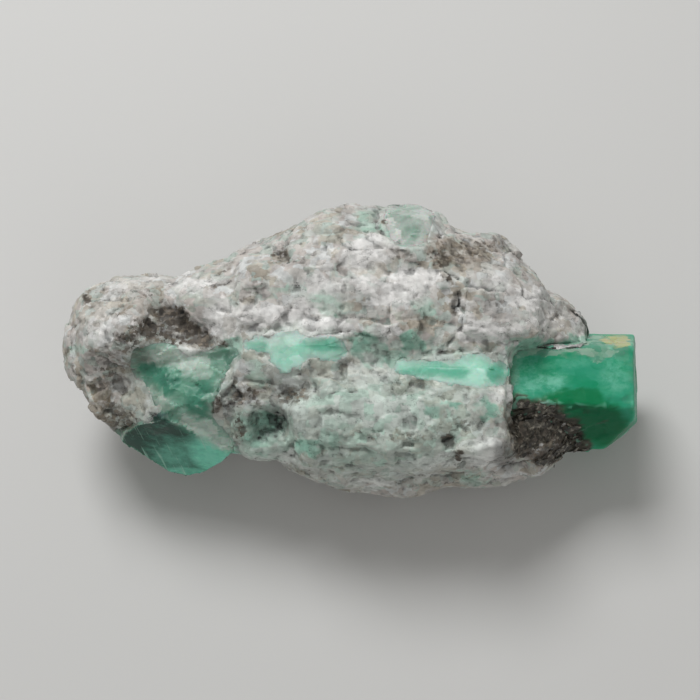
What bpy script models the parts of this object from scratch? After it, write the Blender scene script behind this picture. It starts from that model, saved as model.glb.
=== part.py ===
"""A raw emerald specimen: a broken lump of host rock with emerald and pale beryl crystals grown in it.

The lump is modelled in millimetres in the frame of its show face: x runs along the lump, y up the show face and
z out of it. One empty then leans the whole lump forward on its resting face and sets it on the ground.
The host rock is a loft along x, cut to steps, hollows, chips and grain. Each crystal is a solid of its own that
sits in a socket of the rock, with a thin gap all round.
"""

import math

import bmesh
import bpy
import numpy as np
from mathutils import Matrix, Vector, noise

MM = 0.001
LEAN_DEG = 20.0  # the show face leans this far forward from level
SHOW_ORIGIN = (-0.5, -0.1, 7.7)  # where the show frame's origin stands above the ground
GAP = 0.3  # all round a crystal in its socket
ROCK_GRAIN = 0.3  # voxel size of the rock's mesh before it is thinned
ROCK_KEPT_SHARE = 0.10  # of its faces, when it is thinned

# The rock's outline seen square to the show face, as (x, y).
BACK_EDGE = [
    (-20.95, 0.2), (-20.6, 2.0), (-19.8, 3.6), (-18.9, 4.3), (-17.7, 4.9), (-16.0, 5.3), (-14.2, 5.5),
    (-12.4, 5.1), (-10.6, 6.0), (-8.8, 6.4), (-6.8, 7.7), (-4.4, 8.6), (-1.6, 10.2), (0.3, 10.5),
    (2.6, 10.0), (4.2, 10.0), (5.5, 9.9), (6.4, 9.6), (7.2, 8.8), (8.6, 8.3), (10.5, 8.4), (11.8, 7.4),
    (13.3, 5.8), (14.1, 4.1), (15.1, 4.0), (16.2, 3.0), (17.6, 1.9),
]
FRONT_EDGE = [
    (-20.95, 0.2), (-20.2, -1.4), (-19.4, -2.9), (-18.4, -4.5), (-17.3, -5.4), (-15.8, -6.0), (-13.6, -6.3),
    (-10.0, -6.2), (-8.1, -7.0), (-7.3, -7.9), (-5.9, -8.1), (-5.0, -8.0), (-3.9, -8.9), (-1.8, -9.6),
    (0.8, -10.3), (2.8, -10.7), (4.8, -10.4), (6.8, -10.0), (9.7, -9.9), (12.0, -9.6), (13.7, -9.0),
    (15.5, -8.0), (17.6, -6.6),
]
# Height of the show side above the outline's plane, depth of the far side below it, and the y of the crest.
SHOW_HEIGHT = [
    (-20.95, 0.0), (-20.4, 1.9), (-19.0, 3.6), (-16.0, 4.8), (-8.0, 5.3), (2.0, 5.8), (9.0, 5.3), (13.0, 4.6),
    (17.6, 3.2),
]
FAR_DEPTH = [
    (-20.95, 0.0), (-20.4, 1.6), (-19.0, 3.6), (-15.0, 6.6), (-7.0, 8.4), (3.0, 8.8), (10.0, 7.8), (14.0, 6.4),
    (17.6, 4.4),
]
CREST = [(-20.95, 0.2), (-16.0, -0.3), (-8.0, 0.2), (0.0, -0.4), (8.0, -1.0), (17.6, -2.4)]
STATIONS, AROUND = 150, 84
SHOW_FULLNESS, FAR_FULLNESS = 0.68, 0.66  # 1 is a round section, less is squarer
END_BREAK = ((1.0, 0.1, -0.3), 0.9)

# Steps and hollows of the show side: middle x, y, half length, half width, turn in degrees, rise, edge width.
SHOW_FORMS = {
    "upper_sheet": (-1.6, 3.4, 6.4, 2.2, -6, 0.5, 0.4),
    "back_sheet": (1.0, 7.0, 5.2, 1.2, 6, 0.4, 0.5),
    "right_sheet": (10.6, 3.2, 3.0, 2.3, -14, 0.55, 0.5),
    "white_block": (3.6, -5.2, 7.4, 2.6, 3, 1.1, 0.4),
    "under_ledge": (6.4, -9.3, 6.6, 1.0, 3, -2.2, 0.5),
    "white_boulder": (8.8, -6.8, 1.6, 1.0, 14, 0.5, 0.8),
    "prism_bed": (14.0, -2.0, 2.4, 2.1, -2, -3.2, 0.5),
    "prism_free_end": (18.5, -3.2, 2.0, 4.6, -6, -3.6, 0.5),
    "right_pocket": (13.6, -6.4, 2.6, 2.0, 4, -0.5, 0.5),
    "pocket_floor": (12.0, -4.5, 0.8, 0.7, 10, -0.8, 0.4),
    "mica_hollow": (-11.8, 1.9, 2.3, 1.1, -26, -1.1, 1.2),
    "hollow_foot": (-9.0, 0.5, 1.2, 0.4, -38, -0.6, 0.8),
    "left_lump": (-16.9, 2.3, 2.3, 2.1, 10, 0.7, 1.2),
    "knob_bed": (-12.4, -3.9, 4.6, 3.2, 0, -1.5, 0.6),
    "left_flank": (-17.6, -2.2, 1.7, 1.2, -40, -0.5, 0.8),
    "green_cavity": (-5.6, -5.3, 1.2, 0.9, 0, -1.1, 0.7),
    "brown_saddle": (-4.9, -2.9, 2.6, 0.6, 3, -0.5, 0.7),
    "front_lip": (-5.8, -7.2, 1.7, 0.6, 0, 0.4, 0.5),
    "seam_shelf": (2.4, -0.1, 9.4, 1.2, -4, -0.45, 0.4),
    "crack": (7.1, 2.9, 0.2, 1.4, 4, -0.9, 0.4),
    "crack_foot": (6.0, 0.2, 1.0, 0.2, 10, -0.5, 0.35),
    "top_mica": (8.2, 6.6, 2.6, 0.8, -3, -0.4, 0.6),
    "small_pit": (-4.6, 6.4, 0.45, 0.4, 0, -0.4, 0.4),
    "notch": (-0.6, -1.4, 0.35, 0.7, 20, -0.9, 0.4),
}
# Steps and hollows of the far side, in the same terms; a rise stands out of that side.
FAR_FORMS = {
    "keel": (-2.0, 1.0, 9.0, 2.6, 8, 0.7, 1.0),
    "hollow": (6.0, 6.2, 2.6, 1.8, -20, -0.9, 0.7),
    "step": (-10.5, 3.4, 3.0, 1.8, 12, -0.8, 0.5),
    "lump": (1.0, 7.4, 1.9, 1.1, 0, 0.8, 0.6),
    "slot": (11.0, 2.4, 0.5, 2.4, 14, -0.9, 0.4),
}
EDGE_WANDER = 0.5  # how far the edges of those forms stray
# Flat breaks: the way each faces, and how deep it bites into the lump's reach that way.
BREAKS = [
    ((0.10, 1.0, -0.55), 1.0),
    ((-0.45, 0.80, -0.50), 1.1),
    ((0.62, 0.75, -0.35), 0.9),
    ((-1.0, 0.15, -0.40), 0.8),
    ((-0.80, -0.55, -0.45), 0.9),
    ((0.25, -0.80, -0.75), 0.8),
    ((-0.35, -0.70, -0.80), 0.9),
    ((0.45, 0.30, -1.0), 0.8),
    ((0.10, 0.85, 0.60), 0.7),
    ((-0.40, 0.55, 0.75), 0.7),
    ((0.55, 0.60, 0.55), 0.8),
    ((-0.75, 0.20, 0.60), 0.6),
    END_BREAK,
]

# The emerald prism: six sides round an axis that runs along the rock and dips a little to the right.
PRISM_SIDE, PRISM_LENGTH = 4.45, 11.0
PRISM_MIDDLE = (16.4, -3.0, -0.5)
PRISM_DIP_DEG, PRISM_ROLL_DEG = 2.0, 12.0
# The breaks at its free end, each by the way it faces and a point that it passes through.
PRISM_BREAKS = [
    ((0.97, 0.03, 0.20), (20.05, -2.0, 3.2)),
    ((0.66, -0.72, 0.20), (20.0, -5.2, 2.4)),
]
EDGE_WEAR = 0.12

# Corners of the other crystals; each is the solid that wraps its corners, or two such solids grown together.
BAND = [
    (3.0, -1.0, 5.0), (3.8, -0.4, 5.1), (6.2, -0.2, 5.3), (9.0, -0.1, 5.1), (10.9, -0.3, 4.8),
    (11.1, -1.5, 4.9), (10.9, -2.5, 4.6), (8.3, -2.7, 4.9), (5.5, -2.3, 5.1), (3.8, -1.9, 5.0),
    (5.5, -1.2, 5.9), (10.0, -1.3, 5.5), (4.0, -1.2, 3.2), (10.4, -1.2, 3.0), (8.0, -2.2, 3.2), (7.4, -0.6, 3.2),
]
SEAM_LONG = [
    (-7.2, 0.1, 4.9), (-6.1, 1.0, 5.2), (-5.5, 1.5, 5.3), (-3.3, 1.4, 5.6), (-1.7, 1.0, 5.7), (-0.1, 0.8, 5.6),
    (0.1, 0.0, 5.5), (-1.4, -0.6, 5.6), (-3.6, -0.9, 5.5), (-5.7, -0.6, 5.2), (-4.1, 0.3, 6.0), (-1.7, 0.3, 6.1),
    (-6.0, 0.1, 3.6), (-1.0, 0.2, 3.8), (-3.6, 0.8, 3.4), (-3.8, -0.6, 3.4),
]
SEAM_CROSS = [
    (-5.6, 0.3, 5.2), (-3.2, 0.2, 5.7), (-3.4, -1.7, 5.4), (-4.6, -1.9, 5.3), (-5.4, -1.1, 5.1),
    (-5.2, 0.2, 3.6), (-3.6, 0.2, 3.6), (-3.8, -1.4, 3.8), (-5.0, -1.2, 3.8),
]
CROWN = [
    (1.6, 9.9, 1.6), (3.0, 10.5, 0.5), (4.9, 10.5, 0.5), (6.3, 9.8, 1.2), (6.9, 8.7, 2.4), (6.1, 7.5, 4.4),
    (3.6, 7.3, 5.1), (2.0, 8.0, 4.4), (2.7, 9.5, 3.4), (5.5, 9.3, 3.5), (2.4, 9.0, 0.2), (5.8, 8.8, 0.2),
    (4.0, 8.0, 1.8),
]
KNOB = [
    (-16.4, -1.2, 2.6), (-14.1, 0.2, 3.4), (-11.1, 0.2, 4.2), (-8.2, -0.1, 4.5), (-7.5, -3.5, 4.6), (-7.9, -6.3, 3.4),
    (-12.5, -2.6, 4.9), (-9.6, -3.6, 5.1), (-16.9, -5.8, 0.9), (-14.8, -6.7, -2.4), (-11.8, -7.8, -2.6),
    (-9.8, -6.7, -2.4), (-14.6, -2.2, -0.8), (-9.3, -2.2, -0.8),
]
# The knob's one large glassy facet: its outline as (x, y), and the plane z = along x + along y + level.
FACET = [
    (-15.0, -5.3), (-13.2, -5.0), (-11.9, -5.6), (-10.2, -6.8), (-8.4, -7.3), (-9.2, -8.0), (-10.6, -8.8),
    (-11.9, -9.1), (-13.2, -8.8), (-14.4, -7.9), (-15.8, -6.9),
]
FACET_SLOPE_X, FACET_SLOPE_Y, FACET_LEVEL = 0.30, 1.12, 13.6


def clear_scene():
    for old in list(bpy.data.objects):
        bpy.data.objects.remove(old)


def material(name, colour, roughness):
    made = bpy.data.materials.new(name)
    made.use_nodes = True
    shader = made.node_tree.nodes["Principled BSDF"]
    shader.inputs["Base Color"].default_value = (*colour, 1.0)
    shader.inputs["Roughness"].default_value = roughness
    shader.inputs["Metallic"].default_value = 0.0
    return made


def show_frame():
    """The empty whose frame is the show face's."""
    frame = bpy.data.objects.new("show_frame", None)
    bpy.context.scene.collection.objects.link(frame)
    frame.rotation_euler.x = math.radians(LEAN_DEG)
    frame.location = Vector(SHOW_ORIGIN) * MM
    return frame


def add_object(name, shape, frame, surface=None):
    """An object made from a bmesh in millimetres, which it frees."""
    bmesh.ops.scale(shape, vec=(MM, MM, MM), verts=shape.verts)
    mesh = bpy.data.meshes.new(name)
    shape.to_mesh(mesh)
    shape.free()
    obj = bpy.data.objects.new(name, mesh)
    bpy.context.scene.collection.objects.link(obj)
    obj.parent = frame
    if surface:
        mesh.materials.append(surface)
    return obj


def as_cutter(obj):
    obj.hide_render = True
    obj.display_type = "WIRE"
    return obj


def along(table, x):
    """The value at x of a table of (x, value) points."""
    places, values = zip(*table)
    return np.interp(x, places, values)


def smooth_step(value):
    held = np.clip(value, 0.0, 1.0)
    return held * held * (3.0 - 2.0 * held)


def raised(points, form):
    """How far one step or hollow lifts each point: full inside its turned rectangle, none past its edge."""
    x, y, half_length, half_width, turn, rise, edge = form
    cos, sin = math.cos(math.radians(turn)), math.sin(math.radians(turn))
    dx, dy = points[:, 0] - x, points[:, 1] - y
    outside = np.maximum(np.abs(dx * cos + dy * sin) - half_length, np.abs(dy * cos - dx * sin) - half_width)
    return rise * (1.0 - smooth_step(outside / edge + 0.5))


def wandered(points):
    """The points moved a little along x and y, so that the forms looked up there have uneven edges."""
    elsewhere = Vector((31.0, 17.0, 5.0))
    at = [Vector(p) / 1.9 for p in points]
    stray = [(noise.noise(p), noise.noise(p + elsewhere), 0.0) for p in at]
    return points + np.array(stray) * EDGE_WANDER


def rock_loft():
    """The lump's plain body: rings of points from its left tip to its right end, and the faces between them."""
    left, right = BACK_EDGE[0][0], BACK_EDGE[-1][0]
    share = np.linspace(0.0, 1.0, STATIONS)
    xs = left + (right - left) * (share + 0.12 * (share * share - share))
    angles = np.linspace(0.0, 2.0 * math.pi, AROUND, endpoint=False)
    rings = []
    for x in xs[1:]:
        crest = along(CREST, x)
        cos, sin = np.cos(angles), np.sin(angles)
        reach = np.where(cos > 0, along(BACK_EDGE, x) - crest, crest - along(FRONT_EDGE, x))
        tall = np.where(sin > 0, along(SHOW_HEIGHT, x), along(FAR_DEPTH, x))
        power = np.where(sin > 0, SHOW_FULLNESS, FAR_FULLNESS)
        y = crest + reach * np.sign(cos) * np.abs(cos) ** power
        z = tall * np.sign(sin) * np.abs(sin) ** power
        rings.append(np.column_stack([np.full(AROUND, x), y, z]))
    tip = [[left, BACK_EDGE[0][1], 0.0]]
    points = np.vstack([tip, *rings])
    faces = [(0, 1 + (i + 1) % AROUND, 1 + i) for i in range(AROUND)]
    for ring in range(len(rings) - 1):
        for i in range(AROUND):
            a, b = 1 + ring * AROUND + i, 1 + ring * AROUND + (i + 1) % AROUND
            faces.append((a, b, b + AROUND, a + AROUND))
    last = 1 + (len(rings) - 1) * AROUND
    faces.append(tuple(last + i for i in range(AROUND)))
    return points, faces


def bite(points, facing, depth):
    """Flattens what stands past a plane that bites this deep into the points' reach."""
    normal = np.array(facing) / np.linalg.norm(facing)
    past = points @ normal - ((points @ normal).max() - depth)
    return points - np.outer(np.maximum(past, 0.0), normal)


def grain(point, size, stretch=1.0):
    """Fractal noise from about -1 to 1, in lumps of this size that are drawn out along the bedding."""
    place = Vector((point[0] / stretch + point[1] * 0.12, point[1], point[2])) / size
    return noise.fractal(place, 0.9, 2.1, 3, noise_basis="PERLIN_ORIGINAL")


def shell_normals(points):
    """The outward way at each point of the loft: square to its ring and to the line of points along the rock."""
    rings = points[1:].reshape(-1, AROUND, 3)
    round_ring = np.roll(rings, -1, axis=1) - np.roll(rings, 1, axis=1)
    outward = np.cross(round_ring, np.gradient(rings, axis=0)).reshape(-1, 3)
    outward /= np.linalg.norm(outward, axis=1, keepdims=True) + 1e-9
    return np.vstack([[(-1.0, 0.0, 0.0)], outward])


def host_rock(frame, surface):
    """The host rock without its sockets."""
    points, faces = rock_loft()
    for facing, depth in BREAKS:
        points = bite(points, facing, depth)
    show = smooth_step(points[:, 2] / 1.2)
    far = smooth_step(-points[:, 2] / 1.2)
    places = wandered(points)
    lift = sum(raised(places, form) for form in SHOW_FORMS.values()) * show
    sink = sum(raised(places, form) for form in FAR_FORMS.values()) * far
    points[:, 2] += lift - sink
    rough = np.array([0.34 * grain(p, 3.4, 1.7) + 0.16 * abs(grain(p, 1.3, 1.5)) for p in points])
    points = points + shell_normals(points) * rough[:, None]
    shape = bmesh.new()
    corners = [shape.verts.new(p) for p in points]
    for face in faces:
        shape.faces.new([corners[i] for i in face])
    bmesh.ops.recalc_face_normals(shape, faces=shape.faces)
    rock = add_object("host_rock", shape, frame, surface)
    fuse = rock.modifiers.new("one_skin", "REMESH")
    fuse.mode = "VOXEL"
    fuse.voxel_size = ROCK_GRAIN * MM
    thin = rock.modifiers.new("fewer_faces", "DECIMATE")
    thin.ratio = ROCK_KEPT_SHARE
    return rock


def cut_away(rock, cutter):
    cut = rock.modifiers.new("cut_" + cutter.name, "BOOLEAN")
    cut.operation = "DIFFERENCE"
    cut.object = cutter


def ground_slab():
    """What lies under the resting face: the rock is cut off flat on it."""
    shape = bmesh.new()
    bmesh.ops.create_cube(shape, size=1.0)
    bmesh.ops.scale(shape, vec=(60.0, 40.0, 10.0), verts=shape.verts)
    bmesh.ops.translate(shape, vec=(0.0, 0.0, -5.0), verts=shape.verts)
    return as_cutter(add_object("ground_slab", shape, None))


def wrapped(corners):
    """The solid that wraps these corners."""
    shape = bmesh.new()
    for corner in corners:
        shape.verts.new(corner)
    hull = bmesh.ops.convex_hull(shape, input=shape.verts)
    inside = {item for item in hull["geom_interior"] + hull["geom_unused"] if isinstance(item, bmesh.types.BMVert)}
    bmesh.ops.delete(shape, geom=list(inside), context="VERTS")
    bmesh.ops.recalc_face_normals(shape, faces=shape.faces)
    return shape


def prism_shape():
    """The emerald prism, broken at its free end and worn along its edges."""
    shape = bmesh.new()
    bmesh.ops.create_cone(
        shape, cap_ends=True, segments=6, radius1=PRISM_SIDE, radius2=PRISM_SIDE, depth=PRISM_LENGTH
    )
    roll = Matrix.Rotation(math.radians(PRISM_ROLL_DEG + 30.0), 4, "Z")
    lay = Matrix.Rotation(math.radians(90.0 + PRISM_DIP_DEG), 4, "Y")
    bmesh.ops.transform(shape, matrix=Matrix.Translation(PRISM_MIDDLE) @ lay @ roll, verts=shape.verts)
    for facing, place in PRISM_BREAKS:
        everything = list(shape.verts) + list(shape.edges) + list(shape.faces)
        cut = bmesh.ops.bisect_plane(shape, geom=everything, plane_co=place, plane_no=facing, clear_outer=True)
        rim = [item for item in cut["geom_cut"] if isinstance(item, bmesh.types.BMEdge)]
        bmesh.ops.contextual_create(shape, geom=rim)
    bmesh.ops.bevel(shape, geom=list(shape.edges), offset=EDGE_WEAR, segments=1, affect="EDGES")
    bmesh.ops.recalc_face_normals(shape, faces=shape.faces)
    return shape


def knob_shape():
    facet = [(x, y, FACET_SLOPE_X * x + FACET_SLOPE_Y * y + FACET_LEVEL) for x, y in FACET]
    return wrapped(KNOB + facet)


def grown(shape):
    """The shape moved out by the gap on every side, as a socket is."""
    offsets = {corner: corner.normal * corner.calc_shell_factor() * GAP for corner in shape.verts}
    for corner, offset in offsets.items():
        corner.co += offset
    return shape


def crystal(name, make, frame, surface, rock):
    """A crystal from a function that makes its shape, and its socket cut in the rock."""
    made = add_object(name, make(), frame, surface)
    cut_away(rock, as_cutter(add_object(name + "_socket", grown(make()), frame)))
    return made


def grow_onto(first, make, frame, rock):
    """Joins a second crystal to one that it has grown together with."""
    second = as_cutter(add_object(first.name + "_twin", make(), frame))
    union = first.modifiers.new("grown_together", "BOOLEAN")
    union.operation = "UNION"
    union.object = second
    cut_away(rock, as_cutter(add_object(first.name + "_twin_socket", grown(make()), frame)))


def main():
    clear_scene()
    frame = show_frame()
    quartz = material("quartz_rock", (0.62, 0.61, 0.58), 0.75)
    deep = material("deep_emerald", (0.02, 0.36, 0.16), 0.25)
    mint = material("mint_emerald", (0.30, 0.62, 0.48), 0.4)
    teal = material("teal_emerald", (0.07, 0.36, 0.25), 0.3)
    pale = material("pale_beryl", (0.45, 0.62, 0.50), 0.4)

    rock = host_rock(frame, quartz)
    cut_away(rock, ground_slab())
    crystal("emerald_prism", prism_shape, frame, deep, rock)
    crystal("emerald_band", lambda: wrapped(BAND), frame, mint, rock)
    seam = crystal("emerald_seam", lambda: wrapped(SEAM_LONG), frame, mint, rock)
    grow_onto(seam, lambda: wrapped(SEAM_CROSS), frame, rock)
    crystal("emerald_knob", knob_shape, frame, teal, rock)
    crystal("beryl_crown", lambda: wrapped(CROWN), frame, pale, rock)


main()
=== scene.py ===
import math

import bpy
from mathutils import Matrix, Vector


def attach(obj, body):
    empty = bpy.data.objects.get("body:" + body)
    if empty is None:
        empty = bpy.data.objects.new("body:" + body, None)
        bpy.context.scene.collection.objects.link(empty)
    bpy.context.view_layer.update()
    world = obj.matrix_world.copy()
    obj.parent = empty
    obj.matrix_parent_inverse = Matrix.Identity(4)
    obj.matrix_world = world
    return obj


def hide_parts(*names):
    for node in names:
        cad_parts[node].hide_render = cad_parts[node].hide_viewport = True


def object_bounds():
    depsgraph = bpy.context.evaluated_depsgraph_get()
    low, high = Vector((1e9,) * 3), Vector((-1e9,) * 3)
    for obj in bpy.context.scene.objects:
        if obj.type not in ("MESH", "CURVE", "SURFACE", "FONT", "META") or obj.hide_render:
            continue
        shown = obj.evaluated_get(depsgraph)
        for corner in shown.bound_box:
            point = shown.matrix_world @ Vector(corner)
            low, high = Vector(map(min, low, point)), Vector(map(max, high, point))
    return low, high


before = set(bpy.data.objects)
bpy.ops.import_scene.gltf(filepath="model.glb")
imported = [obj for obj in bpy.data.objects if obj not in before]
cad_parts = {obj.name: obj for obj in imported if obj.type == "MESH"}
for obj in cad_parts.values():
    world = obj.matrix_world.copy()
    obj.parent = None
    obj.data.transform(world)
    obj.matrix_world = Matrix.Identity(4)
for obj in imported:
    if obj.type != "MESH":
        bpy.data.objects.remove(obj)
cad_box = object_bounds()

MM = 0.001
LEAN = math.radians(20.0)
SHOW_ORIGIN = Vector((-0.5, -0.1, 7.7)) * MM
VIEW_DISTANCE = 116.0
LENS, SENSOR = 82.3, 36.0

show_frame = Matrix.Translation(SHOW_ORIGIN) @ Matrix.Rotation(LEAN, 4, "X") @ Matrix.Scale(MM, 4)
to_show = show_frame.inverted()

camera = bpy.data.objects.new("camera", bpy.data.cameras.new("camera"))
bpy.context.scene.collection.objects.link(camera)
camera.data.lens, camera.data.sensor_width = LENS, SENSOR
camera.data.clip_start, camera.data.clip_end = 0.005, 5.0
camera.location = show_frame @ Vector((0.0, 0.0, VIEW_DISTANCE))
camera.rotation_euler = (LEAN, 0.0, 0.0)
bpy.context.scene.camera = camera

# ---------------- Ground and light
# A plain sheet of pale paper under the specimen, a large soft lamp behind and above it on the left, a weak
# one in front on the right, and an even, slightly warm sky.
import bmesh

SHEET_HALF_SIDE, SHEET_BELOW = 600.0, 0.02
PAPER_COLOUR, SKY_COLOUR = (0.60, 0.60, 0.59, 1.0), (1.0, 0.985, 0.96, 1.0)


def as_mesh(shape, name):
    mesh = bpy.data.meshes.new(name)
    shape.to_mesh(mesh)
    shape.free()
    return mesh


def add_piece(name, mesh):
    piece = bpy.data.objects.new(name, mesh)
    bpy.context.scene.collection.objects.link(piece)
    return piece


def paper_sheet():
    shape = bmesh.new()
    bmesh.ops.create_grid(shape, x_segments=1, y_segments=1, size=SHEET_HALF_SIDE * MM)
    sheet = add_piece("ground", as_mesh(shape, "ground"))
    sheet.location.z = -SHEET_BELOW * MM
    paper = bpy.data.materials.new("pale_paper")
    paper.use_nodes = True
    shader = paper.node_tree.nodes["Principled BSDF"]
    shader.inputs["Base Color"].default_value = PAPER_COLOUR
    shader.inputs["Roughness"].default_value = 0.85
    sheet.data.materials.append(paper)


def soft_lamp(name, place, size, power):
    """A square lamp at this place of the show frame, in millimetres, turned to the specimen."""
    lamp = add_piece(name, bpy.data.lights.new(name, "AREA"))
    lamp.data.size, lamp.data.energy = size * MM, power
    lamp.location = show_frame @ Vector(place)
    lamp.rotation_euler = (lamp.location - SHOW_ORIGIN).to_track_quat("Z", "Y").to_euler()


def even_sky(brightness):
    world = bpy.data.worlds.new("sky")
    world.use_nodes = True
    background = world.node_tree.nodes["Background"]
    background.inputs["Color"].default_value = SKY_COLOUR
    background.inputs["Strength"].default_value = brightness
    bpy.context.scene.world = world


paper_sheet()
soft_lamp("window", (-70.0, 212.0, 150.0), 115.0, 0.55)
soft_lamp("front_fill", (60.0, -120.0, 200.0), 140.0, 0.05)
even_sky(0.33)
bpy.context.scene.view_settings.view_transform = "Standard"

# ---------------- Host rock
# A lump of quartz and feldspar broken out of the vein, with dark mica in its hollows and thin green films
# of beryl. It is one grown mass: the crystals sit in it, parted from it by a hair crack at most, and where
# they come to the surface they broke and weathered with it, so all but the prism are cut from one skin.
import numpy as np
from mathutils import noise
from mathutils.bvhtree import BVHTree

# The outlines in which the crystals come to the surface, on the plane of the lump's outline.
BAND_OUTLINE = [
    (3.33, -0.87), (3.91, -0.65), (5.07, -0.72), (6.52, -0.65), (7.38, -0.65), (8.11, -0.51),
    (8.69, -0.29), (9.41, -0.22), (9.99, -0.51), (10.5, -0.72), (11.15, -0.8), (11.51, -1.16),
    (11.58, -1.88), (11.29, -2.46), (10.64, -2.68), (9.41, -2.75), (8.69, -2.68), (7.6, -2.53),
    (6.52, -2.32), (5.43, -2.1), (4.34, -1.95), (3.62, -1.74), (3.19, -1.38),
]
SEAM_OUTLINE = [
    (-7.53, 0.65), (-7.1, 0.87), (-6.37, 0.94), (-5.86, 0.8), (-5.36, 1.16), (-4.71, 1.38), (-3.76, 1.52),
    (-3.4, 1.23), (-2.9, 0.94), (-2.32, 1.09), (-1.45, 1.16), (-0.72, 0.87), (-0.22, 0.36), (-0.14, -0.14),
    (-0.43, -0.51), (-1.09, -0.72), (-2.17, -0.65), (-3.04, -0.65), (-3.4, -0.87), (-3.62, -1.3),
    (-4.13, -1.45), (-4.49, -1.81), (-4.92, -1.74), (-5.36, -1.3), (-5.79, -0.8), (-5.94, -0.22),
    (-6.66, 0), (-7.38, -0.07), (-7.67, 0.29),
]
KNOB_OUTLINE = [
    (-15.57, 0.07), (-14.55, 0.51), (-13.54, 0.65), (-12.81, 0.43), (-12.31, -0.14), (-11.58, -0.43),
    (-10.5, -0.14), (-9.63, 0.36), (-8.98, 0.51), (-8.11, 0.14), (-7.96, -0.22), (-8.4, -0.65),
    (-8.69, -1.38), (-9.12, -2.1), (-9.41, -2.82), (-9.77, -3.4), (-9.92, -4.05), (-9.85, -4.85),
    (-9.27, -5.57), (-8.54, -6.23), (-8.04, -6.95), (-7.96, -7.96), (-9.05, -9.05), (-10.5, -9.77),
    (-12.31, -9.92), (-13.76, -9.12), (-15.2, -7.96), (-16.22, -6.95), (-17.09, -5.94), (-16.51, -5.43),
    (-15.42, -5.36), (-14.55, -5.14), (-13.97, -4.63), (-14.12, -3.84), (-14.41, -3.11), (-14.91, -2.46),
    (-15.64, -2.03), (-15.93, -1.16), (-15.78, -0.43),
]
CROWN_OUTLINE = [
    (2.75, 10.86), (3.62, 11.08), (4.63, 11), (5.36, 10.72), (6.08, 10.14), (6.01, 9.27), (5.79, 8.62),
    (5.5, 8.04), (5.07, 7.67), (4.34, 7.53), (3.48, 7.67), (2.97, 8.11), (2.75, 8.83), (2.53, 9.85),
]
# The crystals in the rock: outline, how deep each reaches, and how smoothly it has broken.
GROWN_IN = {
    "emerald_band": (BAND_OUTLINE, 3.0, 1.0), "emerald_seam": (SEAM_OUTLINE, 3.4, 1.0),
    "emerald_knob": (KNOB_OUTLINE, -2.8, 0.10), "beryl_crown": (CROWN_OUTLINE, 0.2, 0.15),
}
SKIN_SIZE, SKIN_WORN = 0.155, 16  # of the rock's mesh faces, and how many rounds of wear make it even
ROCK_TRIANGLES = 190000
GAP_CLOSED = 0.36  # how far each crystal is swelled to meet the rock
HAIR_CRACK = 0.005  # between the rock and the prism
# Broken facets of the skin: their size, how far the bedding draws them out, and how much they lean.
WIDE_FACETS, SMALL_FACETS, GRAIN_FACETS = (2.3, 1.25, 0.22), (0.95, 1.1, 0.20), (0.5, 1.0, 0.26)
CRYSTAL_FACETS = (1.9, 1.8, 0.11)
GRIT, RIPPLE = 0.010, 0.02  # the finest roughness of the rock and of the crystals
GROOVE_DEPTH, GROOVE_WIDTH = 0.02, 0.06  # between small facets
BED_STEP = 0.045  # from one torn bed to the next
EDGE_WANDER = 0.14  # of ledges and cracks
DRAWN_UP, DRAWN_REACH = 0.85, 2.0  # how far the rock closes on the prism, and from how far away
# Where the band and the seam lie bare: the rim, the lowest height and the rounds of levelling.
SHEET_RIM, SHEET_FLOOR, SHEET_ROUNDS = 0.25, 0.5, 160
CRANNY_DEPTH = 0.012  # that counts as a full crack
SHARP_EDGE = math.radians(38.0)

# Ledges and cracks of the show face: middle x, y, half length, half width, rise, edge width, and turn in
# degrees.
LEDGES = {
    "dark_joint": (-0.8, 1.3, 1, 0.06, -0.25, 0.12, 6),
    "crack": (7.6, 3.3, 0.1, 0.7, -0.35, 0.35, 4),
    "crack_middle": (7.75, 2, 0.06, 0.8, -0.35, 0.25, -6),
    "crack_turn": (7.2, 0.9, 0.06, 0.8, -0.2, 0.2, -38),
    "crack_foot": (6.3, 0.1, 0.9, 0.05, -0.18, 0.15, 14),
    "edge_joint": (14.6, 2.3, 0.45, 0.06, -0.2, 0.12, 28),
    "upper_joint": (6.8, 5.25, 0.9, 0.06, -0.22, 0.12, -24),
    "block_joint": (2.4, -5.6, 2, 0.07, -0.06, 0.14, -6),
    "block_joint_2": (6, -3.2, 1.8, 0.07, -0.07, 0.14, -9),
    "block_joint_3": (-2.2, -3.6, 0.08, 1.4, -0.08, 0.14, 10),
    "boulder": (9.4, -7.2, 1.3, 0.75, 0.35, 0.7, 14),
    "block_step": (1.2, -7.6, 3.4, 0.8, -0.35, 0.3, -6),
    "left_pit": (-17.9, -2.6, 0.6, 0.4, -0.4, 0.3, 30),
    "small_pit": (-5.1, 6.6, 0.3, 0.2, -0.1, 0.3, 10),
    "boulder_pit": (7.7, -7.9, 0.25, 0.2, -0.45, 0.2),
    "block_pit": (6.9, -6.4, 0.45, 0.4, -0.35, 0.3, 20),
    "block_pit_2": (4, -6.5, 0.4, 0.2, -0.3, 0.2),
    "prism_lip": (15.9, 1.2, 2.4, 2.2, -1.3, 2, 4),
    "seam_rise": (-4.2, 0.3, 3.6, 1.9, 0.32, 1.8),
    "band_end": (10.7, -1.5, 0.8, 1.4, -0.6, 1.8),
    "band_top": (8.8, 0.6, 2.6, 0.6, 0.12, 1, -4),
}


def cad_shape(node):
    """A node of the solid model in the show frame, with its corners joined."""
    shape = bmesh.new()
    shape.from_mesh(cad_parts[node].data)
    bmesh.ops.transform(shape, matrix=to_show, verts=shape.verts)
    bmesh.ops.remove_doubles(shape, verts=shape.verts, dist=0.002)
    shape.normal_update()
    return shape


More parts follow.
